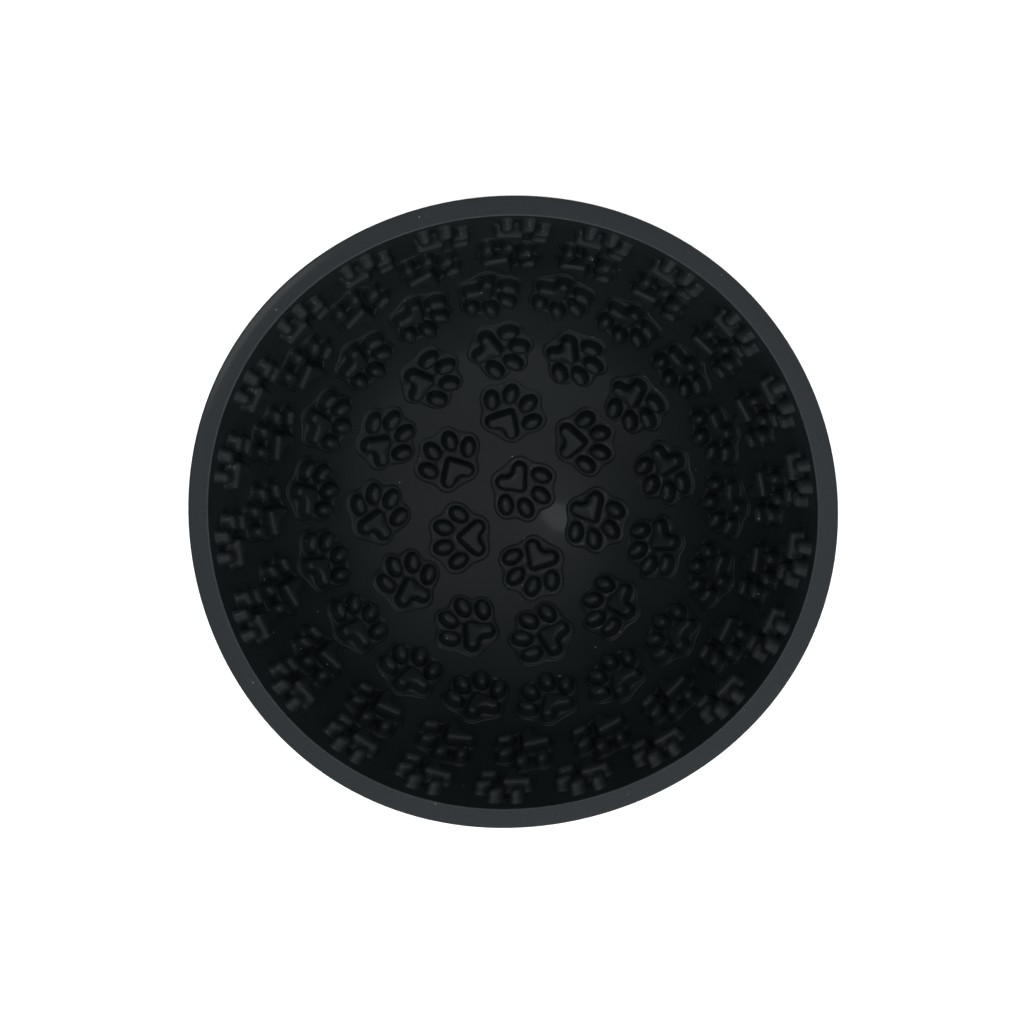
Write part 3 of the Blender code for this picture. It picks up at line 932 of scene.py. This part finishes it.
def sky():
    """Soft sky, brighter overhead and uneven round the sides."""
    world = bpy.data.worlds.new("studio")
    bpy.context.scene.world = world
    world.use_nodes = True
    nodes = world.node_tree.nodes
    links = world.node_tree.links
    fill = nodes["Background"]
    place = nodes.new("ShaderNodeTexCoord").outputs["Generated"]
    square = nodes.new("ShaderNodeVectorMath")
    square.operation = "MULTIPLY"
    links.new(place, square.inputs[0])
    links.new(place, square.inputs[1])
    lean = part_along(nodes, links, place, SKY_LEAN)
    band = part_along(nodes, links, square.outputs["Vector"], SKY_BAND)
    low = nodes.new("ShaderNodeMath")
    low.operation = "MULTIPLY_ADD"
    low.inputs[1].default_value = HORIZON_LEVEL
    low.inputs[2].default_value = HORIZON_LEVEL
    links.new(reckon(nodes, links, "ADD", lean, band), low.inputs[0])
    level = nodes.new("ShaderNodeMix")
    level.inputs["B"].default_value = ZENITH_LEVEL
    links.new(mask(nodes, links, place, *ZENITH_EDGES, ZENITH_AXIS), level.inputs["Factor"])
    links.new(low.outputs["Value"], level.inputs["A"])
    links.new(level.outputs["Result"], fill.inputs["Strength"])
    fill.inputs["Color"].default_value = (*SKY_COLOUR, 1.0)


def make_floor():
    """White floor that keeps the bowl's shadow."""
    corners = []
    for x, y in ((-1, -1), (1, -1), (1, 1), (-1, 1)):
        corners.append((x * FLOOR_HALF, y * FLOOR_HALF, FLOOR_Z))
    floor = mesh_object("floor", corners, [(0, 1, 2, 3)])
    paint, nodes, links = new_material("floor_white")
    shader = nodes["Principled BSDF"]
    shader.inputs["Base Color"].default_value = (*FLOOR_COLOUR, 1.0)
    shader.inputs["Roughness"].default_value = FLOOR_ROUGHNESS
    shader.inputs["Specular IOR Level"].default_value = 0.0
    shader.inputs["Emission Color"].default_value = (1.0, 1.0, 1.0, 1.0)
    lift = reckon(nodes, links, "MULTIPLY", looked_at(nodes, links), FLOOR_LIFT)
    links.new(lift, shader.inputs["Emission Strength"])
    floor.data.materials.append(paint)
    return floor


def make_backdrop():
    """White wall round the floor, seen but letting the sky's light through."""
    ring = BACKDROP_RADIUS * ring_of(BACKDROP_SEGMENTS)
    points = [(x, y, FLOOR_Z) for x, y in ring] + [(x, y, BACKDROP_TOP) for x, y in ring]
    faces = []
    for step in range(BACKDROP_SEGMENTS):
        after = (step + 1) % BACKDROP_SEGMENTS
        faces.append((step, after, BACKDROP_SEGMENTS + after, BACKDROP_SEGMENTS + step))
    wall = mesh_object("backdrop", points, faces)
    paint, nodes, links = new_material("backdrop_white")
    nodes.remove(nodes["Principled BSDF"])
    clear = nodes.new("ShaderNodeBsdfTransparent")
    white = nodes.new("ShaderNodeEmission")
    mix = nodes.new("ShaderNodeMixShader")
    links.new(looked_at(nodes, links), mix.inputs["Fac"])
    links.new(clear.outputs["BSDF"], mix.inputs[1])
    links.new(white.outputs["Emission"], mix.inputs[2])
    links.new(mix.outputs["Shader"], nodes["Material Output"].inputs["Surface"])
    wall.data.materials.append(paint)
    return wall


def studio():
    """White floor and backdrop, a soft sky and one oval lamp overhead."""
    sky()
    spot = lamp("overhead", SPOT_PLACE, (0.0, 0.0, HEIGHT / 2), *SPOT_SIZE, SPOT_LEVEL)
    make_floor()
    make_backdrop()


def fit(made, material, body, slot, *nodes):
    """Gives a made piece its material and sets it on its body in place of CAD nodes."""
    made.data.materials.append(material)
    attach(made, body)
    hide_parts(*nodes)


def dress(node, material):
    """Gives a CAD node that stays its own material."""
    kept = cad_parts[node]
    for slot in kept.material_slots:
        slot.material = material


bowl = make_lick_bowl()
fit(bowl, bowl_rubber(), "lick_bowl", "lick_bowl", "lick_bowl")
bowl.data.materials.append(lip_painted_highlight())
fit(make_rocker_shell(), look("shell_plastic"), "shell", "rocker_shell", "rocker_shell")
fit(make_rim_gasket(), look("gasket_rubber"), "shell", "rim_gasket", "rim_gasket")
fit(make_tread_pad(), look("tread_rubber"), "shell", "tread_pad", "tread_pad")
screw_look = look("screw_steel")
for index in SCREWS:
    fit(make_screw(index), screw_look, "shell", "cover_screw", "cover_screw_" + str(index))
dress("ballast_disc", look("ballast_iron"))
dress("ballast_cover", look("cover_plastic"))
camera()
studio()
bpy.context.scene.view_settings.view_transform = "Standard"
